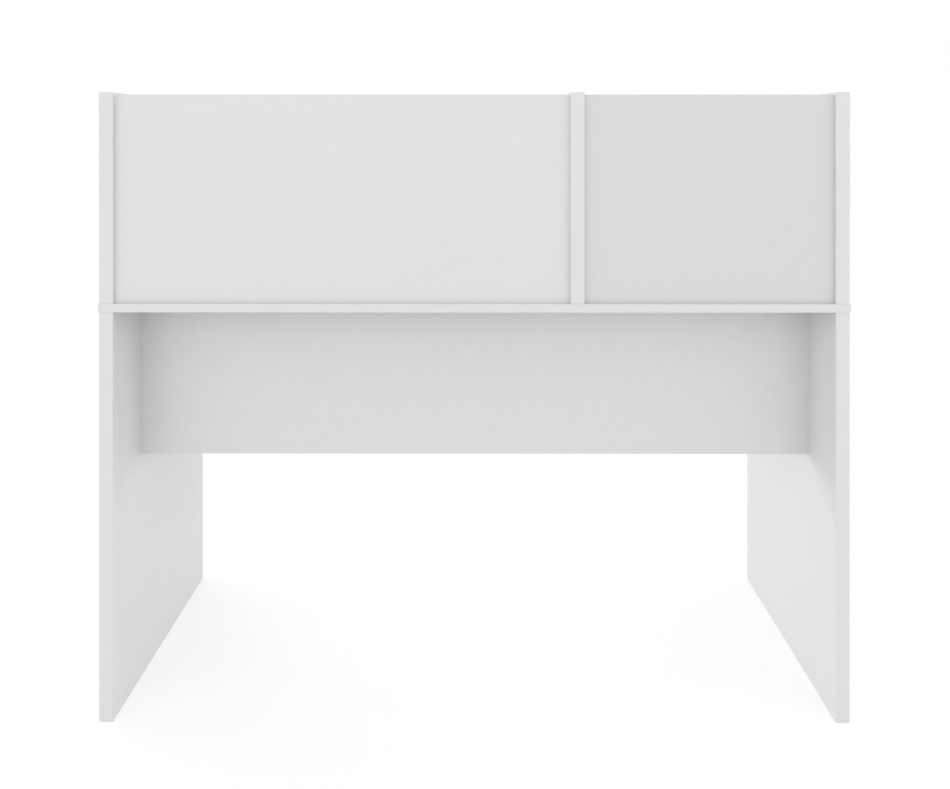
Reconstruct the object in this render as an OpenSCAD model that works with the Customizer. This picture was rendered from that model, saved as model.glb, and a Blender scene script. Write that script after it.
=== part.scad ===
// Writing desk with a hutch, in white faced board, built flat-pack.
//
// +Z is up and the origin lies on the floor, under the middle of the desktop.
// The user sits on the -Y side. The closed backs of the hutch face +Y.
// Depths along a board are counted from the rear edges of the uprights.

/* [Desk] */
// Width over the desktop
desk_w = 1350; // [1200:10:1600]
// Depth over the desktop
desk_d = 540; // [500:10:700]
// Height of the desktop's upper face above the floor
desk_h = 750; // [700:5:780]
// How far the desktop's edges stand proud of the legs and of the hutch
desktop_lip = 1.5; // [0:0.5:5]

/* [Boards] */
// Thickness of the legs, of the hutch sides and of the divider
upright_t = 25; // [24:1:36]
// Thickness of the desktop
desktop_t = 15; // [15:1:30]
// Thickness of the modesty panel, the backs, the hutch tops and the shelf
panel_t = 15; // [15:1:19]
// Thickness of the plastic bands glued to the boards' open edges
band_t = 1; // [0.4:0.1:2]
// Radius on the outer corners of the bands
band_round = 0.4; // [0.1:0.1:0.4]

/* [Modesty panel] */
// Height of the panel that hangs between the legs
modesty_h = 300; // [200:10:400]
// Depth of its rear face behind the legs' rear edges
modesty_inset = 134; // [100:1:140]

/* [Hutch] */
// Height of the hutch above the desktop
hutch_h = 380; // [340:10:450]
// Depth of the hutch
hutch_d = 240; // [230:5:300]
// Clear width of the narrow bay
narrow_bay_w = 450; // [350:10:550]
// Depth of the backs' rear faces behind the uprights' rear edges
back_recess = 7; // [3:1:15]
// How far the backs and tops end below the tops of the uprights
top_drop = 4; // [0:1:15]

/* [Shelf] */
// Height of the lowest shelf pin hole above the desktop
first_pin_h = 110; // [80:5:140]
// Height from one shelf pin hole to the next
pin_pitch = 32; // [25:1:32]
// How many heights the shelf can be set to
pin_levels = 5; // [5:1:6]
// The height that the shelf is set to, counted from below
shelf_level = 3; // [1:1:5]
// Play at each end of the shelf
shelf_play = 1.5; // [1:0.5:3]
// How far the shelf's front edge lies behind the hutch's front edge
shelf_setback = 5; // [0:1:20]
// Diameter of the shelf pins
pin_d = 5; // [4:0.5:6]
// Depth of the pins' holes
pin_hole_depth = 9; // [8:0.5:10]

/* [Connectors] */
// Distance from a board's end to the middle of the cams in it
bolt_reach = 34; // [24:1:40]
// Diameter of the cam locks' pockets
cam_d = 15; // [14:0.5:17]
// Depth of a cam lock's pocket past the bolt's axis
cam_below = 5.2; // [5:0.1:6]
// Diameter of the bolts' shanks
shank_d = 7; // [6.5:0.1:7.6]
// Diameter of the bolts' threaded ends
stub_d = 5; // [4:0.5:6]
// Length of the bolts' threaded ends
stub_len = 11; // [9:0.5:11.5]
// Diameter of the dowels
dowel_d = 8; // [6:0.5:10]
// Length of the dowels
dowel_len = 30; // [25:1:40]
// Share of a dowel that sits in a board's face
dowel_in_face = 10; // [8:0.5:11]
// Length of the screws that hold the divider
screw_len = 50; // [40:5:70]
// Diameter of the screws' shanks
screw_d = 7; // [6:0.5:8]
// Room between a fastener and the wall of its hole
fit_gap = 0.1; // [0.05:0.05:0.2]

/* [Hidden] */
$fn = 48;

// Colours
BOARD = "#e7e7e7";
BAND = "#e9e9e9";
CAP = "#e4e4e4";
ZINC = "#a9abad";
STEEL = "#c3c5c8";
BEECH = "#d9b98c";

// Directions
UP = [0, 0, 1];
DOWN = [0, 0, -1];
TO_USER = [0, -1, 0];
SIDES = [-1, 1];
OVER = 0.5; // how far a cutter runs past the face that it opens

// Places across the desk
outer_x = desk_w / 2 - desktop_lip;
inner_x = outer_x - upright_t;
upright_mid_x = outer_x - upright_t / 2;
divider_x = -inner_x + narrow_bay_w + upright_t / 2;
narrow_bay = [-inner_x, divider_x - upright_t / 2];
wide_bay = [divider_x + upright_t / 2, inner_x];
BAYS = [narrow_bay, wide_bay];
shelf_x = [narrow_bay[0] + shelf_play, narrow_bay[1] - shelf_play];

// Places from the rear edges of the uprights to the front edges of the legs
rear_y = desk_d / 2 - desktop_lip;
front_y = -rear_y;
leg_d = rear_y - front_y;
hutch_front_y = rear_y - hutch_d;
modesty_y = [rear_y - modesty_inset - panel_t, rear_y - modesty_inset];
modesty_mid_y = (modesty_y[0] + modesty_y[1]) / 2;
back_y = [rear_y - back_recess - panel_t, rear_y - back_recess];
back_mid_y = (back_y[0] + back_y[1]) / 2;
shelf_front_y = hutch_front_y + shelf_setback;

// Heights
leg_h = desk_h - desktop_t;
modesty_bottom = leg_h - modesty_h;
upright_top = desk_h + hutch_h;
back_top = upright_top - top_drop;
top_mid_z = back_top - panel_t / 2;
pin_z = [for (level = [0:pin_levels - 1]) desk_h + first_pin_h + level * pin_pitch];
shelf_z = pin_z[shelf_level - 1] + pin_d / 2;

// Shelf pins: a rod with a collar that stops it at the mouth of its hole
pin_collar_t = 0.8;
pin_collar_rim = 0.75;
pin_reach = 8;
pin_row = 37; // from the front and from the rear of the bay
pin_columns = [back_y[0] - pin_row, hutch_front_y + pin_row];

// Connecting bolts: a threaded end, a collar, a shank, a neck and a head
stub_chamfer = 1;
collar_rim = 0.3;
collar_t = 2;
shank_play = 1; // the hole in the board's edge is this much wider
edge_hole_d = shank_d + shank_play;
shank_stop = 0.7; // the shank ends this far before the drum
neck_from = cam_d / 2 + shank_stop; // that end, before the cam's middle
neck_d = 4.2;
head_from = 3.7; // the head's shoulder, before the cam's middle
head_d = 6.6;
head_len = 5;
head_chamfer = 0.8;
head_nose = 1.6;

// Cam locks: a hollow drum with a claw slot
gallery_r = 4.6;
gallery_shift = 0.8; // the hollow is off centre, so a turn draws the bolt in
gallery_play = 0.8;
gallery_h = head_d + gallery_play;
neck_play = 0.6;
slot_h = neck_d + neck_play;
slot_from = -35;
slot_to = 105;
drum_sink = 0.3;
cross_len = 7;
cross_w = 1.4;
cross_depth = 2.2;

// Caps over the cam locks
cap_rim = 1.2;
cap_t = 1;
cap_edge = 0.4;
cap_pin_d = 1.2;

// Screws through the desktop into the divider
screw_head_rim = 1.5;
screw_head_d = screw_d + 2 * screw_head_rim;
screw_head_h = 4;
screw_thread = 1;
screw_core_d = screw_d - 2 * screw_thread;
screw_tip = 3;

// Dowels
dowel_chamfer = 1;

// Places of the fasteners. Fronts and rears are those of the board that
// stands or hangs there: a leg, or an upright of the hutch.
leg_cam_from_front = 64;
leg_next_cam_from_front = 192;
leg_dowel_from_front = 128;
leg_dowel_from_rear = 80;
through_from_front = 27;
through_next_from_front = 59;
side_dowel_from_rear = 40;
side_next_dowel_from_rear = 120;
divider_dowel_from_rear = 96;
divider_dowel_from_front = 64;
divider_screw_from_rear = 64;
divider_screw_from_front = 32;
end_cam_from_corner = 50;
back_cam_from_foot = 60;
back_cam_from_top = 75;
edge_dowel_shares = [0.2, 0.5, 0.8]; // of a bay's width
modesty_dowel_shares = [-0.75, 0, 0.75]; // of the way from the middle to a leg

// A cam joint is the point where the boards meet on the bolt's axis, the way
// the bolt runs into the board that holds the cam, the way that the cam's
// pocket opens, and the depth of the bolt's axis under that face.
function cam_joint(at, along, opens, axis_depth) = [at, along, opens, axis_depth];
function inward(end) = end == 0 ? [1, 0, 0] : [-1, 0, 0];
function upright_point(side, depth, height) = [side * upright_mid_x, rear_y - depth, height];

// Legs to the desktop, in front of the hutch
leg_cam_depths = [leg_d - leg_next_cam_from_front, leg_d - leg_cam_from_front];
leg_joints = [for (side = SIDES) for (depth = leg_cam_depths)
    cam_joint(upright_point(side, depth, leg_h), DOWN, [-side, 0, 0], upright_t / 2)];

// Bolts with two heads run from each leg through the desktop into the hutch side
through_depths = [hutch_d - through_next_from_front, hutch_d - through_from_front];
through_below = [for (side = SIDES) for (depth = through_depths)
    cam_joint(upright_point(side, depth, leg_h), DOWN, [-side, 0, 0], upright_t / 2)];
through_above = [for (side = SIDES) for (depth = through_depths)
    cam_joint(upright_point(side, depth, desk_h), UP, [-side, 0, 0], upright_t / 2)];

// Modesty panel to the legs, and up to the desktop
modesty_cam_z = [modesty_bottom + end_cam_from_corner, leg_h - end_cam_from_corner];
modesty_end_joints = [for (side = SIDES) for (z = modesty_cam_z)
    cam_joint([side * inner_x, modesty_mid_y, z], [-side, 0, 0], TO_USER, panel_t / 2)];
modesty_top_joints = [for (side = SIDES)
    cam_joint([side * inner_x / 2, modesty_mid_y, leg_h], DOWN, TO_USER, panel_t / 2)];
modesty_joints = concat(modesty_end_joints, modesty_top_joints);

// Backs and tops to the uprights at the two ends of each bay
back_cam_z = [desk_h + back_cam_from_foot, back_top - back_cam_from_top];
back_joints = [for (bay = BAYS) for (end = [0, 1]) for (z = back_cam_z)
    cam_joint([bay[end], back_mid_y, z], inward(end), TO_USER, panel_t / 2)];
top_cam_y = [back_y[0] - end_cam_from_corner, hutch_front_y + end_cam_from_corner];
top_joints = [for (bay = BAYS) for (end = [0, 1]) for (y = top_cam_y)
    cam_joint([bay[end], y, top_mid_z], inward(end), DOWN, panel_t / 2)];

// A dowel joint is a point on its axis where the boards meet, and the way
// into the board whose edge is drilled.
side_dowels = [for (side = SIDES) for (depth = [side_dowel_from_rear, side_next_dowel_from_rear])
    [upright_point(side, depth, desk_h), UP]];
leg_dowels = [for (side = SIDES) for (depth = [leg_dowel_from_rear, leg_d - leg_dowel_from_front])
    [upright_point(side, depth, leg_h), DOWN]];
divider_dowel_depths = [divider_dowel_from_rear, hutch_d - divider_dowel_from_front];
divider_dowels = [for (depth = divider_dowel_depths)
    [[divider_x, rear_y - depth, desk_h], UP]];
modesty_dowels = concat(
    [for (side = SIDES)
        [[side * inner_x, modesty_mid_y, leg_h - modesty_h / 2], [-side, 0, 0]]],
    [for (share = modesty_dowel_shares) [[share * inner_x, modesty_mid_y, leg_h], DOWN]]);
back_dowels = concat(
    [for (bay = BAYS) for (end = [0, 1])
        [[bay[end], back_mid_y, (desk_h + back_top) / 2], inward(end)]],
    [for (bay = BAYS) for (share = edge_dowel_shares)
        [[bay[0] + share * (bay[1] - bay[0]), back_mid_y, desk_h], UP]]);
top_end_dowels = [for (bay = BAYS) for (end = [0, 1])
    [[bay[end], (back_y[0] + hutch_front_y) / 2, top_mid_z], inward(end)]];
top_rear_dowels = [for (bay = BAYS) for (share = edge_dowel_shares)
    [[bay[0] + share * (bay[1] - bay[0]), back_y[0], top_mid_z], TO_USER]];

divider_screw_depths = [divider_screw_from_rear, hutch_d - divider_screw_from_front];

// ---- Helpers -------------------------------------------------------------

// A box between two X, two Y and two Z values
module slab(x, y, z) {
    translate([x[0], y[0], z[0]])
        cube([x[1] - x[0], y[1] - y[0], z[1] - z[0]]);
}

// Stands its child's Z along a direction and its X along another
module stand(at, z, x) {
    y = cross(z, x);
    multmatrix([
        [x[0], y[0], z[0], at[0]],
        [x[1], y[1], z[1], at[1]],
        [x[2], y[2], z[2], at[2]],
        [0, 0, 0, 1]])
        children();
}

// Stands its child's Z along one of the axes
module aim(at, z) {
    stand(at, z, abs(z[0]) > 0.5 ? UP : [1, 0, 0]) children();
}

// A wedge of a disc between two angles
module sector(r, from, to) {
    steps = 4;
    angles = [for (i = [0:steps]) from + (to - from) * i / steps];
    polygon(concat([[0, 0]], [for (angle = angles) r * [cos(angle), sin(angle)]]));
}

// A band's cross section: flat where it is glued on, rounded outside
module band_section(width) {
    square([width, band_t - band_round]);
    translate([band_round, 0])
        square([width - 2 * band_round, band_t]);
    for (x = [band_round, width - band_round])
        translate([x, band_t - band_round])
            circle(r = band_round);
}

// A band of a given length along Z, across X, standing proud along Y
module band(width, length) {
    linear_extrude(height = length)
        band_section(width);
}

// The hole for a bolt's threaded end, in the face that it screws into
module stub_holes(joints) {
    for (joint = joints)
        aim(joint[0], joint[1])
            translate([0, 0, -stub_len - OVER])
                cylinder(d = stub_d + 2 * fit_gap, h = stub_len + 2 * OVER);
}

// The bolt's hole in the board's end, and the cam's pocket across it
module cam_holes(joints) {
    for (joint = joints) {
        aim(joint[0], joint[1])
            translate([0, 0, -OVER])
                cylinder(d = edge_hole_d, h = bolt_reach + OVER);
        stand(joint[0] + bolt_reach * joint[1], joint[2], -joint[1])
            translate([0, 0, -cam_below])
                cylinder(d = cam_d, h = cam_below + joint[3] + OVER);
    }
}

// A dowel's hole, half in a face and half in an edge, with glue room at both ends
module dowel_holes(joints) {
    for (joint = joints)
        aim(joint[0], joint[1])
            translate([0, 0, -dowel_in_face - OVER])
                cylinder(d = dowel_d + 2 * fit_gap, h = dowel_len + 2 * OVER);
}

// Shelf pin holes in the upright on one side of the narrow bay
module pin_holes(end) {
    for (y = pin_columns)
        for (z = pin_z)
            aim([narrow_bay[end], y, z], inward(end))
                translate([0, 0, -pin_hole_depth])
                    cylinder(d = pin_d + 2 * fit_gap, h = pin_hole_depth + OVER);
}

// ---- Legs and desktop ----------------------------------------------------

module leg_panel(side) {
    color(BOARD)
        difference() {
            translate([side > 0 ? inner_x : -outer_x, front_y + band_t, 0])
                cube([upright_t, leg_d - 2 * band_t, leg_h]);
            cam_holes(concat(leg_joints, through_below));
            stub_holes(modesty_end_joints);
            dowel_holes(concat(leg_dowels, modesty_dowels));
        }
}

module left_leg_panel() {
    leg_panel(-1);
}

module right_leg_panel() {
    leg_panel(1);
}

module leg_edge_bands() {
    color(BAND)
        for (x = [-outer_x, inner_x]) {
            translate([x, rear_y - band_t, 0])
                band(upright_t, leg_h);
            translate([x + upright_t, front_y + band_t, 0])
                rotate([0, 0, 180])
                    band(upright_t, leg_h);
        }
}

module desktop() {
    color(BOARD)
        difference() {
            slab([band_t - desk_w / 2, desk_w / 2 - band_t],
                [band_t - desk_d / 2, desk_d / 2 - band_t], [leg_h, desk_h]);
            stub_holes(concat(leg_joints, modesty_top_joints));
            for (joint = through_below)
                translate(joint[0] - [0, 0, OVER])
                    cylinder(d = edge_hole_d, h = desktop_t + 2 * OVER);
            dowel_holes(concat(side_dowels, leg_dowels, divider_dowels));
            dowel_holes(concat(modesty_dowels, back_dowels));
            for (depth = divider_screw_depths)
                translate([divider_x, rear_y - depth, leg_h])
                    screw_hole();
        }
}

module desktop_edge_bands() {
    color(BAND) {
        for (turn = [0, 180])
            rotate([0, 0, turn])
                translate([-desk_w / 2, desk_d / 2 - band_t, desk_h])
                    rotate([0, 90, 0])
                        band(desktop_t, desk_w);
        for (turn = [0, 180])
            rotate([0, 0, turn])
                translate([desk_w / 2 - band_t, desk_d / 2 - band_t, desk_h])
                    rotate([0, 90, -90])
                        band(desktop_t, desk_d - 2 * band_t);
    }
}

// ---- Modesty panel -------------------------------------------------------

module modesty_panel() {
    color(BOARD)
        difference() {
            slab([-inner_x, inner_x], modesty_y, [modesty_bottom + band_t, leg_h]);
            cam_holes(modesty_joints);
            dowel_holes(modesty_dowels);
        }
}

module modesty_edge_band() {
    color(BAND)
        translate([-inner_x, modesty_y[0], modesty_bottom + band_t])
            rotate([90, 0, 90])
                mirror([0, 1, 0])
                    band(panel_t, 2 * inner_x);
}

// ---- Hutch ---------------------------------------------------------------

// The core of a hutch upright whose middle plane is at x
module hutch_upright(x) {
    slab([x - upright_t / 2, x + upright_t / 2], [hutch_front_y + band_t, rear_y - band_t],
        [desk_h, upright_top - band_t]);
}

// The holes that every hutch upright has for the backs and the tops
module bay_holes() {
    stub_holes(concat(back_joints, top_joints));
    dowel_holes(concat(back_dowels, top_end_dowels));
}

module hutch_left_side() {
    color(BOARD)
        difference() {
            hutch_upright(-upright_mid_x);
            cam_holes(through_above);
            dowel_holes(side_dowels);
            bay_holes();
            pin_holes(0);
        }
}

module hutch_right_side() {
    color(BOARD)
        difference() {
            hutch_upright(upright_mid_x);
            cam_holes(through_above);
            dowel_holes(side_dowels);
            bay_holes();
        }
}

module hutch_divider() {
    color(BOARD)
        difference() {
            hutch_upright(divider_x);
            dowel_holes(divider_dowels);
            bay_holes();
            pin_holes(1);
            for (depth = divider_screw_depths)
                translate([divider_x, rear_y - depth, leg_h])
                    cylinder(d = screw_core_d + 2 * fit_gap, h = screw_len + OVER);
        }
}

module upright_edge_bands() {
    color(BAND)
        for (x = [-upright_mid_x, divider_x, upright_mid_x])
            translate([x - upright_t / 2, 0, 0]) {
                translate([0, rear_y - band_t, desk_h])
                    band(upright_t, hutch_h - band_t);
                translate([upright_t, hutch_front_y + band_t, desk_h])
                    rotate([0, 0, 180])
                        band(upright_t, hutch_h - band_t);
                translate([0, rear_y, upright_top - band_t])
                    rotate([90, 0, 0])
                        band(upright_t, hutch_d);
            }
}

module back_panel(bay) {
    color(BOARD)
        difference() {
            slab(bay, back_y, [desk_h, back_top - band_t]);
            cam_holes(back_joints);
            dowel_holes(concat(back_dowels, top_rear_dowels));
        }
}

module wide_back_panel() {
    back_panel(wide_bay);
}

module narrow_back_panel() {
    back_panel(narrow_bay);
}

module back_edge_bands() {
    color(BAND)
        for (bay = BAYS)
            translate([bay[0], back_y[1], back_top - band_t])
                rotate([90, 0, 90])
                    mirror([1, 0, 0])
                        band(panel_t, bay[1] - bay[0]);
}

module top_board(bay) {
    color(BOARD)
        difference() {
            slab(bay, [hutch_front_y + band_t, back_y[0]], [back_top - panel_t, back_top]);
            cam_holes(top_joints);
            dowel_holes(concat(top_end_dowels, top_rear_dowels));
        }
}

module wide_top_board() {
    top_board(wide_bay);
}

module narrow_top_board() {
    top_board(narrow_bay);
}

module top_edge_bands() {
    color(BAND)
        for (bay = BAYS)
            front_band(bay[0], bay[1] - bay[0], hutch_front_y, back_top);
}

// A band on the front edge of a level board whose upper face is at z
module front_band(x, length, y, z) {
    translate([x, y + band_t, z - panel_t])
        rotate([90, 0, 90])
            rotate([0, 0, 90])
                band(panel_t, length);
}

// ---- Shelf ---------------------------------------------------------------

module bay_shelf() {
    color(BOARD)
        slab(shelf_x, [shelf_front_y + band_t, back_y[0] - shelf_play], [shelf_z, shelf_z + panel_t]);
}

module shelf_edge_band() {
    color(BAND)
        front_band(shelf_x[0], shelf_x[1] - shelf_x[0], shelf_front_y, shelf_z + panel_t);
}

// A pin standing in the mouth of its hole
module shelf_pin() {
    translate([0, 0, OVER - pin_hole_depth])
        cylinder(d = pin_d, h = pin_hole_depth - OVER + pin_reach);
    cylinder(d = pin_d + 2 * pin_collar_rim, h = pin_collar_t);
}

module shelf_pins() {
    color(STEEL)
        for (end = [0, 1])
            for (y = pin_columns)
                aim([narrow_bay[end], y, pin_z[shelf_level - 1]], inward(end))
                    shelf_pin();
}

// ---- Fasteners -----------------------------------------------------------

// A die-cast drum with its middle on the bolt's axis. Its X points at the
// bolt and its Z at the open face. The claw slot lets the neck pass, the
// round mouth at the slot's far end lets the head in.
module cam_lock(axis_depth) {
    drum_top = axis_depth - drum_sink;
    difference() {
        translate([0, 0, OVER - cam_below])
            cylinder(d = cam_d - 2 * fit_gap, h = cam_below - OVER + drum_top);
        translate([-gallery_shift, 0, -gallery_h / 2])
            cylinder(r = gallery_r, h = gallery_h);
        translate([0, 0, -slot_h / 2])
            linear_extrude(height = slot_h)
                sector(cam_d, slot_from, slot_to);
        rotate([0, 90, slot_to])
            cylinder(d = gallery_h, h = cam_d);
        for (turn = [0, 90])
            rotate([0, 0, turn])
                translate([-cross_len / 2, -cross_w / 2, drum_top - cross_depth])
                    cube([cross_len, cross_w, cross_depth + OVER]);
    }
}

// One cam lock for every joint of a list
module cam_locks(joints) {
    color(ZINC)
        for (joint = joints)
            stand(joint[0] + bolt_reach * joint[1], joint[2], -joint[1])
                cam_lock(joint[3]);
}

module upright_cam_locks() {
    cam_locks(concat(leg_joints, through_below, through_above));
}

module panel_cam_locks() {
    cam_locks(concat(modesty_joints, back_joints, top_joints));
}

// A thin domed cap on the face, with a stem in the drum's cross
module cam_cap() {
    cap_r = cam_d / 2 + cap_rim;
    rotate_extrude()
        polygon([[0, 0], [cap_r, 0], [cap_r, cap_edge], [cap_r - cap_t, cap_t], [0, cap_t]]);
    translate([0, 0, OVER - cross_depth])
        cylinder(d = cap_pin_d, h = cross_depth - OVER);
}

module cam_caps() {
    color(CAP)
        for (joint = concat(leg_joints, through_below, through_above,
                modesty_joints, back_joints, top_joints))
            stand(joint[0] + bolt_reach * joint[1] + joint[3] * joint[2], joint[2], -joint[1])
                cam_cap();
}

// The outline of the end of a bolt that a cam grips, from a height on the
// shank upwards: the shank, the neck, the head, and back to the axis
function gripped_outline(start) = [
    [shank_d / 2, start],
    [shank_d / 2, bolt_reach - neck_from],
    [neck_d / 2, bolt_reach - neck_from],
    [neck_d / 2, bolt_reach - head_from],
    [head_d / 2 - head_chamfer, bolt_reach - head_from],
    [head_d / 2, bolt_reach - head_from + head_chamfer],
    [head_d / 2, bolt_reach - head_from + head_len - head_nose],
    [head_d / 2 - head_nose, bolt_reach - head_from + head_len],
    [0, bolt_reach - head_from + head_len]];

module connecting_bolt() {
    rotate_extrude()
        polygon(concat(
            [[0, -stub_len], [stub_d / 2 - stub_chamfer, -stub_len],
                [stub_d / 2, stub_chamfer - stub_len], [stub_d / 2, 0],
                [shank_d / 2 + collar_rim, 0], [shank_d / 2 + collar_rim, collar_t]],
            gripped_outline(collar_t)));
}

module connecting_bolts() {
    color(STEEL)
        for (joint = concat(leg_joints, modesty_joints, back_joints, top_joints))
            aim(joint[0], joint[1])
                connecting_bolt();
}

// Two gripped ends back to back, joined through the desktop's thickness
module through_bolt() {
    for (flip = [0, 1])
        mirror([0, 0, flip])
            translate([0, 0, desktop_t / 2])
                rotate_extrude()
                    polygon(concat([[0, -desktop_t / 2]], gripped_outline(-desktop_t / 2)));
}

module through_bolts() {
    color(STEEL)
        for (joint = through_below)
            translate(joint[0] + [0, 0, desktop_t / 2])
                through_bolt();
}

module wooden_dowels() {
    color(BEECH)
        for (joint = concat(side_dowels, leg_dowels, divider_dowels, modesty_dowels,
                back_dowels, top_end_dowels, top_rear_dowels))
            aim(joint[0], joint[1])
                translate([0, 0, -dowel_in_face])
                    rotate_extrude()
                        polygon([[0, 0], [dowel_d / 2 - dowel_chamfer, 0],
                            [dowel_d / 2, dowel_chamfer], [dowel_d / 2, dowel_len - dowel_chamfer],
                            [dowel_d / 2 - dowel_chamfer, dowel_len], [0, dowel_len]]);
}

// The outline of a divider screw, made larger all round by a gap
module screw_shape(gap, length) {
    rotate_extrude()
        polygon([[0, 0], [screw_head_d / 2 + gap, 0], [screw_d / 2 + gap, screw_head_h],
            [screw_d / 2 + gap, desktop_t], [screw_core_d / 2 + gap, desktop_t],
            [screw_core_d / 2 + gap, length - screw_tip], [0, length]]);
}

// The hole through the desktop, with a seat for the screw's head
module screw_hole() {
    translate([0, 0, -OVER])
        cylinder(d = screw_head_d + 2 * fit_gap, h = OVER);
    screw_shape(fit_gap, screw_len);
}

module divider_screws() {
    color(STEEL)
        for (depth = divider_screw_depths)
            translate([divider_x, rear_y - depth, leg_h])
                screw_shape(0, screw_len);
}

left_leg_panel();
right_leg_panel();
leg_edge_bands();
desktop();
desktop_edge_bands();
modesty_panel();
modesty_edge_band();
hutch_left_side();
hutch_right_side();
hutch_divider();
upright_edge_bands();
wide_back_panel();
narrow_back_panel();
back_edge_bands();
wide_top_board();
narrow_top_board();
top_edge_bands();
bay_shelf();
shelf_edge_band();
shelf_pins();
upright_cam_locks();
panel_cam_locks();
cam_caps();
connecting_bolts();
through_bolts();
wooden_dowels();
divider_screws();
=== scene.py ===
# %% [markdown]
# # A white flat-pack desk with a hutch
#
# The desk is made of plain boards: two thick leg panels, a thin desktop, a
# modesty panel between the legs, and a hutch with closed backs on top. Every
# board, band and fitting is already there as a solid at its real size. What
# is left for Blender is what makes such furniture believable: the satin skin
# of the boards, the lines in the plastic edge bands, the raw chipboard where
# no band was glued, and soft studio light.

# %% Load the solids
import math

import bpy
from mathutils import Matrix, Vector


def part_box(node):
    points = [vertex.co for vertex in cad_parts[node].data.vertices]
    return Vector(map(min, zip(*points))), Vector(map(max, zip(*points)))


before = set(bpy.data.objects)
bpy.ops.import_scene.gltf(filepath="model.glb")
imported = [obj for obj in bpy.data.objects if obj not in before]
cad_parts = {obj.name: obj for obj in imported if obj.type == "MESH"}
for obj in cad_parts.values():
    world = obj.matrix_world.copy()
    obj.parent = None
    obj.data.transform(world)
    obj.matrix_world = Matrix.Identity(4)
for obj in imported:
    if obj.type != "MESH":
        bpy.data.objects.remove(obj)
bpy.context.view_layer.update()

# %% [markdown]
# ## Camera
#
# The desk is seen straight from behind, with all its uprights parallel. They
# stay parallel only in a level camera, but a level camera at this height
# would cut off the legs, and tipping it down would make the uprights lean.
# So its lens is slid down in front of the film, as with the falling front of a view camera, and the
# camera is described as one: the height of its film, a lens a little longer than that, and a shift. Its
# distance is counted from the rear edges of the legs. It stands a hand's breadth lower than the hutch's
# top, and is almost level and square to the desk.

# %% Place the camera
FILM_HEIGHT = 67  # millimetres
FOCAL_LENGTH = 77.43  # millimetres
FILM_SHIFT = -0.3228  # heights of the film
DISTANCE = 1.635
EYE_HEIGHT = 1.046
OFF_CENTRE = -0.0064
TIPPED_DOWN = 0.05  # degrees
TURNED = 0.16  # degrees

rear_of_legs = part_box("leg_edge_bands")[1].y

view_camera = bpy.data.cameras.new("view_camera")
view_camera.sensor_fit = "VERTICAL"
view_camera.sensor_height = FILM_HEIGHT
view_camera.lens = FOCAL_LENGTH
view_camera.shift_y = FILM_SHIFT

camera = bpy.data.objects.new("camera", view_camera)
bpy.context.scene.collection.objects.link(camera)
camera.location = (OFF_CENTRE, rear_of_legs + DISTANCE, EYE_HEIGHT)
camera.rotation_euler = (math.radians(90 - TIPPED_DOWN), 0, math.radians(180 + TURNED))
bpy.context.scene.camera = camera
bpy.context.scene.view_settings.view_transform = "Standard"
print("camera stands", round(camera.location.y - rear_of_legs, 3), "m behind the desk")

# %% [markdown]
# ## A short way to write node materials
#
# Every finish below is a small tree of shader nodes. Written out in full,
# each node takes half a dozen lines and hides what the tree is for. So two
# helpers do it: one starts a material with its surface shader, and one adds
# a node, sets its properties and fills its inputs with values or with other
# nodes' outputs.

# %% Helpers for node trees
REFRACTION = 1.5


def start_material(name, roughness, metallic=0.0):
    material = bpy.data.materials.new(name)
    material.use_nodes = True
    surface = material.node_tree.nodes["Principled BSDF"]
    surface.inputs["Roughness"].default_value = roughness
    surface.inputs["IOR"].default_value = REFRACTION
    surface.inputs["Metallic"].default_value = metallic
    return material, material.node_tree, surface


def add_node(tree, kind, inputs=None, **settings):
    made = tree.nodes.new(kind)
    for name, value in settings.items():
        setattr(made, name, value)
    for name, value in (inputs or {}).items():
        if isinstance(value, bpy.types.NodeSocket):
            tree.links.new(value, made.inputs[name])
        else:
            made.inputs[name].default_value = value
    return made


print("every finish starts with a refraction of", REFRACTION)

# %% [markdown]
# ## Noise that becomes a finish
#
# A real finish is never one flat colour. Here each one starts from noise in
# the object's own metres, so that its grain has a real size. The noise is
# pulled long where the material has a direction. It rarely leaves the middle
# of its range, so that middle is spread over the wanted change of tone or
# roughness. A colour is then multiplied by one or more such tones.

# %% Helpers for finishes
NOISE_LOW = 0.3
NOISE_HIGH = 0.7


def stretched_noise(tree, stretch, scale, detail=4.0):
    place = add_node(tree, "ShaderNodeTexCoord")
    pulled = add_node(tree, "ShaderNodeMapping", {"Vector": place.outputs["Object"], "Scale": stretch})
    noise = add_node(
        tree, "ShaderNodeTexNoise", {"Vector": pulled.outputs[0], "Scale": scale, "Detail": detail}
    )
    return noise.outputs["Fac"]


def spread(tree, fac, low, high):
    ranged = add_node(
        tree,
        "ShaderNodeMapRange",
        {"Value": fac, "From Min": NOISE_LOW, "From Max": NOISE_HIGH, "To Min": low, "To Max": high},
    )
    return ranged.outputs["Result"]


def tinted(tree, colour, *factors):
    result = None
    for factor in factors:
        step = add_node(tree, "ShaderNodeVectorMath", operation="SCALE")
        if result is None:
            step.inputs[0].default_value = colour
        else:
            tree.links.new(result, step.inputs[0])
        tree.links.new(factor, step.inputs["Scale"])
        result = step.outputs[0]
    return result


def dress(material, *node_names):
    for name in node_names:
        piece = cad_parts[name]
        for slot in piece.material_slots:
            slot.material = material
    print(material.name, "on", ", ".join(node_names))


print("noise from", NOISE_LOW, "to", NOISE_HIGH, "is spread over each change")
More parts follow.
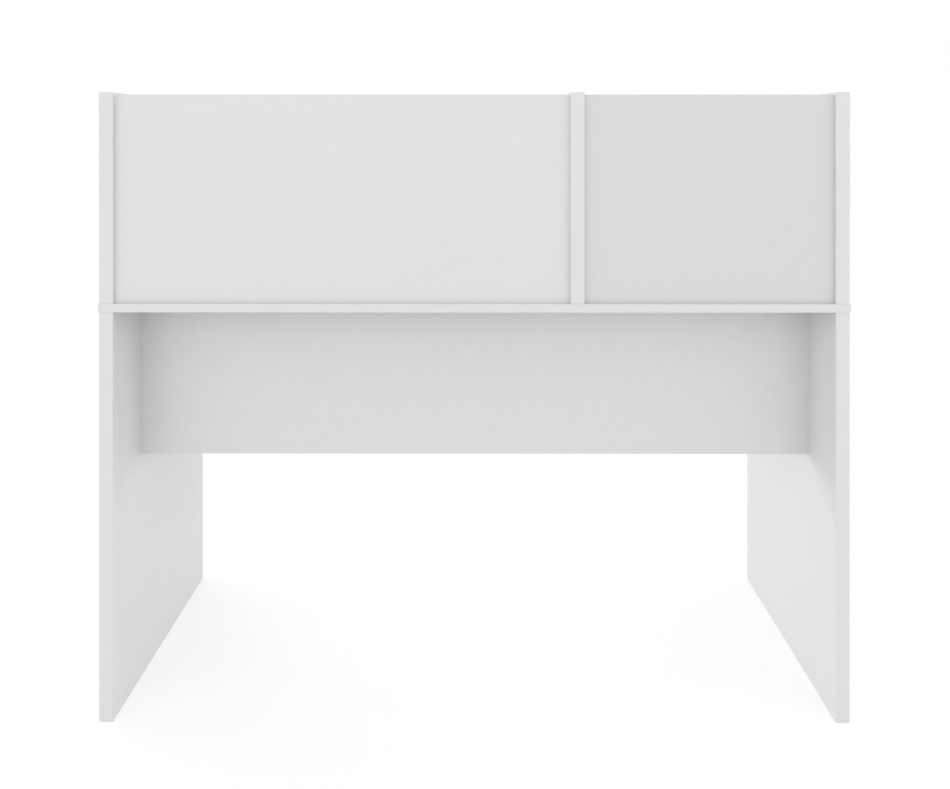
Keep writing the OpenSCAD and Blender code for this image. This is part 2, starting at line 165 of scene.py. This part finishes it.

# %% [markdown]
# ## Painted shade where boards meet
#
# On white furniture the joints read as soft grey lines, because little light gets in there. The light
# alone gives most of it. More lamps with harder shadows could give the rest, but they would draw edges
# on the large faces too. So an Ambient Occlusion node looks at how closed a point is within a few
# centimetres, and paints a little shade into the colour there.
# It depends on the shape only, so it stays in place from every side. Towards
# the floor it fades out, because the pale floor lights the legs' lower ends.

# %% Corner shade
CORNER_REACH = 0.07
CORNER_SHADE = 0.18


# Painted shade: a factor below one that darkens the base colour in closed corners.
def corner_shade(tree):
    openness = add_node(tree, "ShaderNodeAmbientOcclusion", {"Distance": CORNER_REACH}, samples=8)
    closed = add_node(tree, "ShaderNodeMath", {0: 1.0, 1: openness.outputs["AO"]}, operation="SUBTRACT")
    place = add_node(tree, "ShaderNodeTexCoord")
    parts = add_node(tree, "ShaderNodeSeparateXYZ", {"Vector": place.outputs["Object"]})
    amount = add_node(
        tree,
        "ShaderNodeMapRange",
        {
            "Value": parts.outputs["Z"],
            "From Min": CORNER_REACH,
            "From Max": 2 * CORNER_REACH,
            "To Min": 0.0,
            "To Max": CORNER_SHADE,
        },
    )
    taken = add_node(
        tree, "ShaderNodeMath", {0: closed.outputs[0], 1: amount.outputs["Result"]}, operation="MULTIPLY"
    )
    left = add_node(tree, "ShaderNodeMath", {0: 1.0, 1: taken.outputs[0]}, operation="SUBTRACT")
    return left.outputs[0]


print("corners are shaded within", CORNER_REACH, "m, by up to", CORNER_SHADE)

# %% [markdown]
# ## The boards' core: raw chipboard
#
# The boards are chipboard faced on both sides with white melamine paper a
# fifth of a millimetre thick. Everything deeper is bare chipboard, as in the
# drilled holes and at the legs' lower ends, where no band was glued. It could
# be a second material on those faces, but the faces would have to be picked
# by hand. Generated coordinates run from 0 to 1 through a board's thickness,
# so the two papers are simply the first and the last hundredth of it, and
# one material does both. The chips are small cells, each with its own shade
# of brown.

# %% Paper and chips
CHIP_BROWN = (0.50, 0.36, 0.22)
CHIPS_PER_METRE = 700.0
DARKEST_CHIP = 0.6
LIGHTEST_CHIP = 1.35
PAPER_FROM = 0.49  # thicknesses away from the board's middle


def paper_mask(tree, axis):
    place = add_node(tree, "ShaderNodeTexCoord")
    parts = add_node(tree, "ShaderNodeSeparateXYZ", {"Vector": place.outputs["Generated"]})
    centred = add_node(tree, "ShaderNodeMath", {0: parts.outputs[axis], 1: 0.5}, operation="SUBTRACT")
    depth = add_node(tree, "ShaderNodeMath", {0: centred.outputs[0]}, operation="ABSOLUTE")
    mask = add_node(
        tree, "ShaderNodeMath", {0: depth.outputs[0], 1: PAPER_FROM}, operation="GREATER_THAN"
    )
    return mask.outputs[0]


def chipboard(tree):
    place = add_node(tree, "ShaderNodeTexCoord")
    flakes = add_node(
        tree, "ShaderNodeTexVoronoi", {"Vector": place.outputs["Object"], "Scale": CHIPS_PER_METRE}
    )
    shades = add_node(tree, "ShaderNodeSeparateXYZ", {"Vector": flakes.outputs["Color"]})
    tone = add_node(
        tree,
        "ShaderNodeMapRange",
        {"Value": shades.outputs[0], "To Min": DARKEST_CHIP, "To Max": LIGHTEST_CHIP},
    )
    return tinted(tree, CHIP_BROWN, tone.outputs["Result"])


print("paper is the outer", round(100 * (0.5 - PAPER_FROM)), "% of the thickness on each side")

# %% [markdown]
# ## The boards' skin: white melamine paper
#
# The press leaves a fine embossed grain in the paper that runs along the
# board, too faint to see as colour but enough to break up the light. It
# could be one flat white, but then the large faces look like card. So two
# noises are used: streaks a few millimetres wide and a few centimetres long,
# which change height, gloss and tone a little, and a broad cloudiness of
# half a percent. The height shows close by, where light grazes the board,
# and the tone shows from across the room.

# %% White board, one finish for all
WHITE = (0.80, 0.80, 0.80)
STREAKS_PER_METRE = 210.0
STREAK_TONE = 0.013
STREAK_HEIGHT = 0.00002
STREAK_STRENGTH = 0.15
CLOUDS_PER_METRE = 2.2
CLOUD_TONE = 0.005
PAPER_ROUGHNESS = (0.42, 0.48)
CHIP_ROUGHNESS = 0.85


def white_board(name, grain, axis, tone=1.0):
    material, tree, surface = start_material(name, sum(PAPER_ROUGHNESS) / 2)
    streaks = stretched_noise(tree, grain, STREAKS_PER_METRE)
    clouds = stretched_noise(tree, (1.0, 1.0, 1.0), CLOUDS_PER_METRE, detail=2.0)
    paper = tinted(
        tree,
        tuple(tone * channel for channel in WHITE),
        spread(tree, streaks, 1 - STREAK_TONE, 1 + STREAK_TONE),
        spread(tree, clouds, 1 - CLOUD_TONE, 1 + CLOUD_TONE),
        # painted shade: the paper is darkened in closed corners
        corner_shade(tree),
    )
    mask = paper_mask(tree, axis)
    both = add_node(tree, "ShaderNodeMix", {0: mask, 6: chipboard(tree), 7: paper}, data_type="RGBA")
    tree.links.new(both.outputs[2], surface.inputs["Base Color"])
    satin = spread(tree, streaks, *PAPER_ROUGHNESS)
    dull = add_node(tree, "ShaderNodeMix", {0: mask, 2: CHIP_ROUGHNESS, 3: satin}, data_type="FLOAT")
    tree.links.new(dull.outputs[0], surface.inputs["Roughness"])
    bump = add_node(
        tree,
        "ShaderNodeBump",
        {"Strength": STREAK_STRENGTH, "Distance": STREAK_HEIGHT, "Height": streaks},
    )
    tree.links.new(bump.outputs[0], surface.inputs["Normal"])
    return material


print("streaks are about", round(1000 / STREAKS_PER_METRE), "mm wide")

# %% [markdown]
# ## Which board is which
#
# The grain runs upwards in standing boards and across the desk in lying ones: a small number pulls the
# noise long in that direction. The narrow back is drawn a few percent greyer than the other boards, as
# its tone says. The modesty panel is drawn a little greyer too, which is painted shade for its place
# under the desktop. The letter is the axis along which a board's thickness lies, for its papers.

# %% Dress the boards
UPRIGHT_GRAIN = (1.0, 1.0, 0.14)
LYING_GRAIN = (0.14, 1.0, 1.0)
NARROW_BACK_TONE = 0.93
MODESTY_PAINTED_SHADE = 0.97

dress(
    white_board("white_upright_board", UPRIGHT_GRAIN, "X"),
    "left_leg_panel",
    "right_leg_panel",
    "hutch_left_side",
    "hutch_right_side",
    "hutch_divider",
)
dress(white_board("white_wide_back", UPRIGHT_GRAIN, "Y"), "wide_back_panel")
dress(white_board("white_narrow_back", UPRIGHT_GRAIN, "Y", NARROW_BACK_TONE), "narrow_back_panel")
# the modesty panel's lower tone is painted shade under the desktop
dress(white_board("white_modesty_panel", UPRIGHT_GRAIN, "Y", MODESTY_PAINTED_SHADE), "modesty_panel")
dress(
    white_board("white_lying_board", LYING_GRAIN, "Z"),
    "desktop",
    "wide_top_board",
    "narrow_top_board",
    "bay_shelf",
)

# %% [markdown]
# ## Edge bands
#
# The boards' edges are covered with a plastic band a millimetre thick. It is
# extruded, so it has very fine lines along its length, and it is a little
# glossier than the paper. Noise pulled a hundred times its width gives such
# lines. Bands on standing boards run upwards, those on lying boards across.

# %% White edge bands
BAND_ROUGHNESS = 0.38
LINES_PER_METRE = 900.0
LINE_TONE = 0.006
LINE_HEIGHT = 0.00003
LINE_STRENGTH = 0.2
UPWARDS = (1.0, 1.0, 0.01)
ACROSS = (0.01, 1.0, 1.0)


def edge_band(name, along):
    material, tree, surface = start_material(name, BAND_ROUGHNESS)
    lines = stretched_noise(tree, along, LINES_PER_METRE, detail=2.0)
    tree.links.new(
        # painted shade: the band is darkened in closed corners
        tinted(tree, WHITE, spread(tree, lines, 1 - LINE_TONE, 1 + LINE_TONE), corner_shade(tree)),
        surface.inputs["Base Color"],
    )
    bump = add_node(
        tree, "ShaderNodeBump", {"Strength": LINE_STRENGTH, "Distance": LINE_HEIGHT, "Height": lines}
    )
    tree.links.new(bump.outputs[0], surface.inputs["Normal"])
    return material


dress(edge_band("white_band_standing", UPWARDS), "leg_edge_bands", "upright_edge_bands")
dress(
    edge_band("white_band_lying", ACROSS),
    "desktop_edge_bands",
    "modesty_edge_band",
    "back_edge_bands",
    "top_edge_bands",
    "shelf_edge_band",
)

# %% [markdown]
# ## Fittings
#
# Little of the hardware shows: white caps over the cam locks on the user's
# side, the shelf pins, and two screw heads under the desktop. The rest is
# inside the boards, and is dressed as well, because the desk can be taken
# apart. Cast zinc, plated steel, moulded caps and raw beech differ in
# colour, in gloss and in how coarse and how strong their speckle is, so one
# short function makes them all.

# %% Caps, zinc, steel and beech
CAP_WHITE = (0.78, 0.78, 0.78)
ZINC_GREY = (0.52, 0.53, 0.54)
STEEL_GREY = (0.68, 0.69, 0.71)
BEECH_BROWN = (0.62, 0.42, 0.24)
GLOSS_CHANGE = 0.05


def speckled(name, colour, roughness, metallic, speckles_per_metre, tone_change):
    material, tree, surface = start_material(name, roughness, metallic)
    speckle = stretched_noise(tree, (1.0, 1.0, 1.0), speckles_per_metre)
    tree.links.new(
        tinted(tree, colour, spread(tree, speckle, 1 - tone_change, 1 + tone_change)),
        surface.inputs["Base Color"],
    )
    tree.links.new(
        spread(tree, speckle, roughness - GLOSS_CHANGE, roughness + GLOSS_CHANGE),
        surface.inputs["Roughness"],
    )
    return material


cap_plastic = speckled(
    "moulded_cap", CAP_WHITE, roughness=0.32, metallic=0.0, speckles_per_metre=300.0, tone_change=0.01
)
zinc = speckled(
    "cast_zinc", ZINC_GREY, roughness=0.5, metallic=1.0, speckles_per_metre=900.0, tone_change=0.08
)
steel = speckled(
    "plated_steel", STEEL_GREY, roughness=0.28, metallic=1.0, speckles_per_metre=600.0, tone_change=0.05
)
beech = speckled(
    "raw_beech", BEECH_BROWN, roughness=0.6, metallic=0.0, speckles_per_metre=500.0, tone_change=0.12
)
dress(cap_plastic, "cam_caps")
dress(zinc, "upright_cam_locks", "panel_cam_locks")
dress(steel, "connecting_bolts", "through_bolts", "divider_screws", "shelf_pins")
dress(beech, "wooden_dowels")

# %% [markdown]
# ## Floor
#
# The floor is a wide pale sheet, a hair lower than the feet so that the two
# never share a plane. Its paint takes the desk's soft shadow. Lit by the
# studio it would come out a light grey, and brighter light would burn out
# the white boards. So the floor gets a faint glow of its own, which only the
# camera sees. It lifts the sheet to white, keeps the shadow, and adds no
# light to the desk.

# %% Floor
FLOOR_HALF = 12.0
FLOOR_DROP = 0.0003
FLOOR_PAINT = (0.86, 0.86, 0.86, 1)
FLOOR_ROUGHNESS = 0.9
FLOOR_GLOW = 0.27

floor_mesh = bpy.data.meshes.new("floor")
corners = [(x, y, 0) for x, y in ((-1, -1), (1, -1), (1, 1), (-1, 1))]
floor_mesh.from_pydata([(FLOOR_HALF * x, FLOOR_HALF * y, z) for x, y, z in corners], [], [(0, 1, 2, 3)])
floor = bpy.data.objects.new("floor", floor_mesh)
bpy.context.scene.collection.objects.link(floor)
floor.location.z = -FLOOR_DROP

floor_white, floor_tree, floor_surface = start_material("floor_white", FLOOR_ROUGHNESS)
floor_surface.inputs["Base Color"].default_value = FLOOR_PAINT
floor_mesh.materials.append(floor_white)
floor_ray = add_node(floor_tree, "ShaderNodeLightPath")
glow = add_node(floor_tree, "ShaderNodeEmission", {"Color": (1, 1, 1, 1), "Strength": FLOOR_GLOW})
lit_floor = add_node(floor_tree, "ShaderNodeAddShader")
floor_tree.links.new(floor_surface.outputs[0], lit_floor.inputs[0])
floor_tree.links.new(glow.outputs[0], lit_floor.inputs[1])
chosen = add_node(floor_tree, "ShaderNodeMixShader", {"Fac": floor_ray.outputs["Is Camera Ray"]})
floor_tree.links.new(floor_surface.outputs[0], chosen.inputs[1])
floor_tree.links.new(lit_floor.outputs[0], chosen.inputs[2])
floor_tree.links.new(chosen.outputs[0], floor_tree.nodes["Material Output"].inputs["Surface"])
print("floor is", 2 * FLOOR_HALF, "m wide")

# %% [markdown]
# ## Light
#
# White furniture on a white ground is lit by large soft sources, a little
# more from one side, so that the faces that look there are a touch brighter.
# Lamps this large could be built as area lamps, but each would show its edge
# in the floor. Here each one is written into the world instead: its light is
# strongest straight from its own side and falls off with the cosine of the
# angle from it. Its focus is the power of that cosine: a higher one makes a
# tighter beam. Broad sources stand behind the desk, above it and at its two
# ends. Tight ones stand at three of its corners and reach in between the
# legs.

# %% Soft sources
BROAD = 1
TIGHT = 4
SOFT_SOURCES = {
    "rear": ((0, 1, 0), BROAD, 0.51),
    "above": ((0, 0, 1), BROAD, 0.41),
    "left end": ((-1, 0, 0), BROAD, 1.08),
    "right end": ((1, 0, 0), BROAD, 0.19),
    "user's left corner": ((-1, -1, 0), TIGHT, 0.93),
    "user's right corner": ((1, -1, 0), TIGHT, 2.95),
    "rear right corner": ((1, 1, 0), TIGHT, 1.07),
}

world = bpy.data.worlds.new("studio")
bpy.context.scene.world = world
world.use_nodes = True
sky = world.node_tree
for old in list(sky.nodes):
    sky.nodes.remove(old)
direction = add_node(sky, "ShaderNodeTexCoord").outputs["Generated"]
soft_light = 0.0
for source, (toward, focus, level) in SOFT_SOURCES.items():
    axis = Vector(toward).normalized()
    facing = add_node(sky, "ShaderNodeVectorMath", {0: direction, 1: axis}, operation="DOT_PRODUCT")
    lit_side = add_node(sky, "ShaderNodeMath", {0: facing.outputs["Value"], 1: 0.0}, operation="MAXIMUM")
    lobe = add_node(sky, "ShaderNodeMath", {0: lit_side.outputs[0], 1: focus}, operation="POWER")
    added = add_node(
        sky, "ShaderNodeMath", {0: lobe.outputs[0], 1: level, 2: soft_light}, operation="MULTIPLY_ADD"
    )
    soft_light = added.outputs[0]
    print("soft light from the", source, level)

# %% [markdown]
# ## What the world shows
#
# The sources light the desk, but they should not be seen as grey blobs
# behind it, nor mirrored in the metal. So rays from the camera, and rays
# that come off gloss or through glass, see plain white, and only the soft
# light that falls on matt surfaces comes from the sources.

# %% White surroundings
ray = add_node(sky, "ShaderNodeLightPath")
camera_or_glossy = add_node(
    sky,
    "ShaderNodeMath",
    {0: ray.outputs["Is Camera Ray"], 1: ray.outputs["Is Glossy Ray"]},
    operation="MAXIMUM",
)
seen = add_node(
    sky,
    "ShaderNodeMath",
    {0: camera_or_glossy.outputs[0], 1: ray.outputs["Is Transmission Ray"]},
    operation="MAXIMUM",
)
strength = add_node(sky, "ShaderNodeMix", {0: seen.outputs[0], 2: soft_light, 3: 1.0}, data_type="FLOAT")
background = add_node(
    sky, "ShaderNodeBackground", {"Color": (1, 1, 1, 1), "Strength": strength.outputs[0]}
)
add_node(sky, "ShaderNodeOutputWorld", {"Surface": background.outputs[0]})
print("world has", len(sky.nodes), "nodes")
